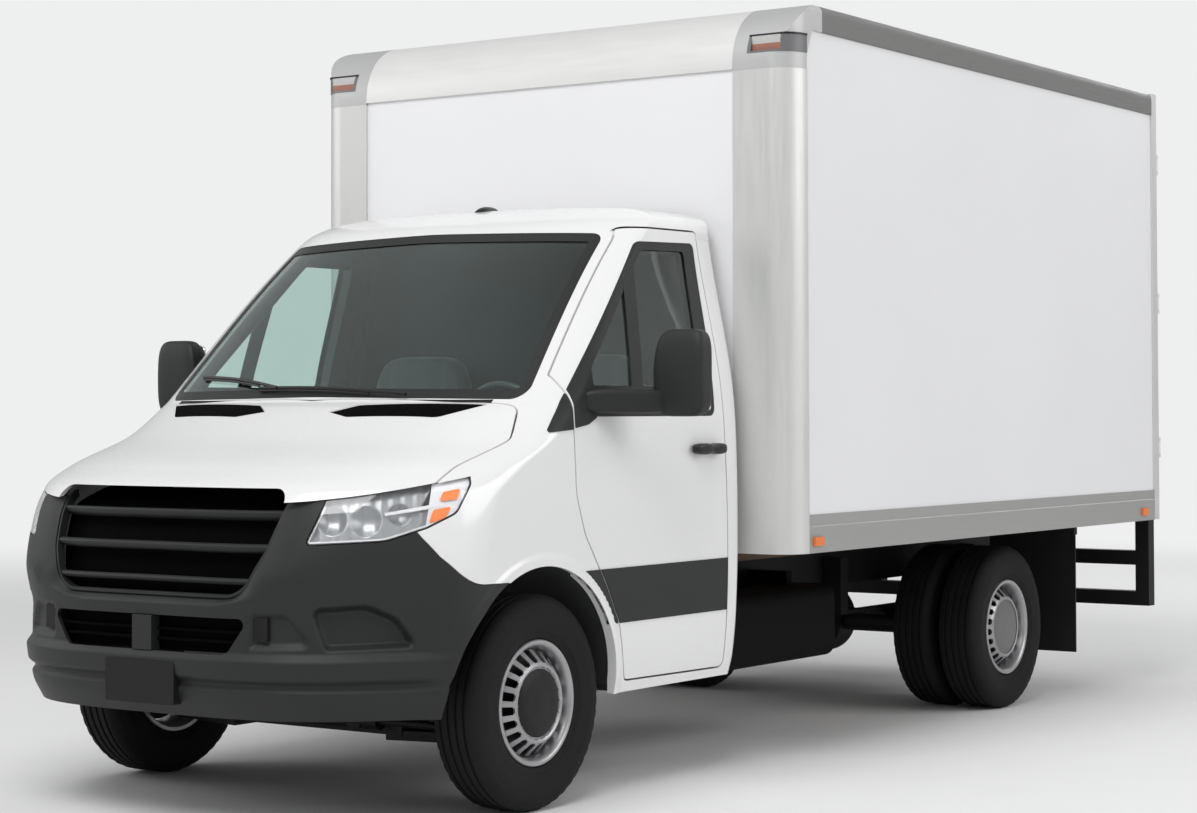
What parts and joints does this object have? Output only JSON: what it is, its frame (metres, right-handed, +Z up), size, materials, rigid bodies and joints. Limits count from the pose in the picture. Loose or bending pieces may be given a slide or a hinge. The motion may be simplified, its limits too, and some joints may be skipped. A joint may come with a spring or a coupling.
{
  "type": "box truck",
  "caption": "Van-cab box truck with a rounded-front freight body, dual rear wheels, steered front wheels, opening doors and hood.",
  "frame": {"origin": "on the ground, at the middle of the truck's footprint", "axes": "+X to the vehicle's left, +Y to its rear, +Z up"},
  "size_m": [2.69, 6.081, 3.01],
  "materials": {
    "frame_paint": "satin",
    "engine_metal": "rough",
    "tank_plastic": "matte",
    "exhaust_steel": "dull",
    "white_paint": "gloss",
    "dark_plastic": "matte",
    "grille_black": "satin",
    "lamp_clear": "clear",
    "screen_glass": "tinted",
    "door_glass": "tinted",
    "cab_trim": "matte",
    "seat_cloth": "woven",
    "deck_wood": "worn",
    "white_panel": "gloss",
    "body_aluminium": "satin",
    "cap_casting": "cast",
    "flap_rubber": "matte",
    "marker_lens": "clear",
    "tail_lens": "clear",
    "wheel_silver": "satin",
    "tyre_rubber": "matte"
  },
  "bodies": {
    "root": {"frame_rails": "frame_paint", "front_suspension": "frame_paint", "engine": "engine_metal", "drive_shaft": "frame_paint", "steering_rack": "frame_paint", "rear_axle": "frame_paint", "rear_springs": "frame_paint", "fuel_tank": "tank_plastic", "exhaust": "exhaust_steel", "cab_shell": "white_paint", "cowl": "dark_plastic", "windscreen": "screen_glass", "front_fenders": "white_paint", "front_bumper": "dark_plastic", "grille": "grille_black", "headlamps": "lamp_clear", "wheel_liners": "dark_plastic", "dashboard": "cab_trim", "steering_wheel": "cab_trim", "cab_seats": "seat_cloth", "box_floor": "deck_wood", "box_side_walls": "white_panel", "box_front_wall": "white_panel", "box_roof": "white_panel", "box_front_posts": "body_aluminium", "box_nose_rail": "body_aluminium", "box_corner_caps": "cap_casting", "box_top_rails": "body_aluminium", "box_base_rails": "body_aluminium", "box_rear_frame": "body_aluminium", "rear_bumper": "frame_paint", "mud_flaps": "flap_rubber", "marker_lamps": "marker_lens", "tail_lamps": "tail_lens"},
    "hood": {"hood": "white_paint"},
    "steering_rod": {"steering_rod": "frame_paint"},
    "cab_door_left": {"cab_door_left": "white_paint", "door_glass_left": "door_glass", "mirror_left": "dark_plastic"},
    "cargo_door_left": {"cargo_door_left": "white_panel"},
    "knuckle_left": {"knuckle_left": "frame_paint"},
    "front_wheel_left": {"rim_front_left": "wheel_silver", "tyre_front_left": "tyre_rubber"},
    "rear_wheels_left": {"rims_rear_left": "wheel_silver", "tyres_rear_left": "tyre_rubber"},
    "cab_door_right": {"cab_door_right": "white_paint", "door_glass_right": "door_glass", "mirror_right": "dark_plastic"},
    "cargo_door_right": {"cargo_door_right": "white_panel"},
    "knuckle_right": {"knuckle_right": "frame_paint"},
    "front_wheel_right": {"rim_front_right": "wheel_silver", "tyre_front_right": "tyre_rubber"},
    "rear_wheels_right": {"rims_rear_right": "wheel_silver", "tyres_rear_right": "tyre_rubber"}
  },
  "joints": [
    {"name": "front_wheel_left_spin", "type": "hinge", "parent": "knuckle_left", "child": "front_wheel_left", "pos_m": [0.862, -2.0555, 0.378], "axis": [1, 0, 0], "continuous": true},
    {"name": "rear_wheels_left_spin", "type": "hinge", "parent": "root", "child": "rear_wheels_left", "pos_m": [0.925, 1.6095, 0.378], "axis": [1, 0, 0], "continuous": true},
    {"name": "steer_left", "type": "hinge", "parent": "root", "child": "knuckle_left", "pos_m": [0.752, -2.0555, 0.378], "axis": [0, 0, 1], "range_deg": [-35, 35]},
    {"name": "cab_door_left_hinge", "type": "hinge", "parent": "root", "child": "cab_door_left", "pos_m": [1.005, -1.8725, 1], "axis": [0, 0, -1], "range_deg": [0, 65]},
    {"name": "cargo_door_left_hinge", "type": "hinge", "parent": "root", "child": "cargo_door_left", "pos_m": [1.194, 3.0295, 1.9], "axis": [0, 0, -1], "range_deg": [0, 250]},
    {"name": "front_wheel_right_spin", "type": "hinge", "parent": "knuckle_right", "child": "front_wheel_right", "pos_m": [-0.862, -2.0555, 0.378], "axis": [1, 0, 0], "continuous": true},
    {"name": "rear_wheels_right_spin", "type": "hinge", "parent": "root", "child": "rear_wheels_right", "pos_m": [-0.925, 1.6095, 0.378], "axis": [1, 0, 0], "continuous": true},
    {"name": "steer_right", "type": "hinge", "parent": "root", "child": "knuckle_right", "pos_m": [-0.752, -2.0555, 0.378], "axis": [0, 0, 1], "range_deg": [-35, 35]},
    {"name": "cab_door_right_hinge", "type": "hinge", "parent": "root", "child": "cab_door_right", "pos_m": [-1.005, -1.8725, 1], "axis": [0, 0, 1], "range_deg": [0, 65]},
    {"name": "cargo_door_right_hinge", "type": "hinge", "parent": "root", "child": "cargo_door_right", "pos_m": [-1.194, 3.0295, 1.9], "axis": [0, 0, 1], "range_deg": [0, 250]},
    {"name": "hood_hinge", "type": "hinge", "parent": "root", "child": "hood", "pos_m": [0, -2.0605, 1.432], "axis": [-1, 0, 0], "range_deg": [0, 55]},
    {"name": "steering_rod_slide", "type": "slide", "parent": "root", "child": "steering_rod", "axis": [1, 0, 0], "range_m": [-0.09, 0.09]}
  ],
  "couplings": [
    {"joint": "steer_right", "follows": "steer_left", "ratio": 1},
    {"joint": "steering_rod_slide", "follows": "steer_left", "m_per_rad": 0.135}
  ]
}
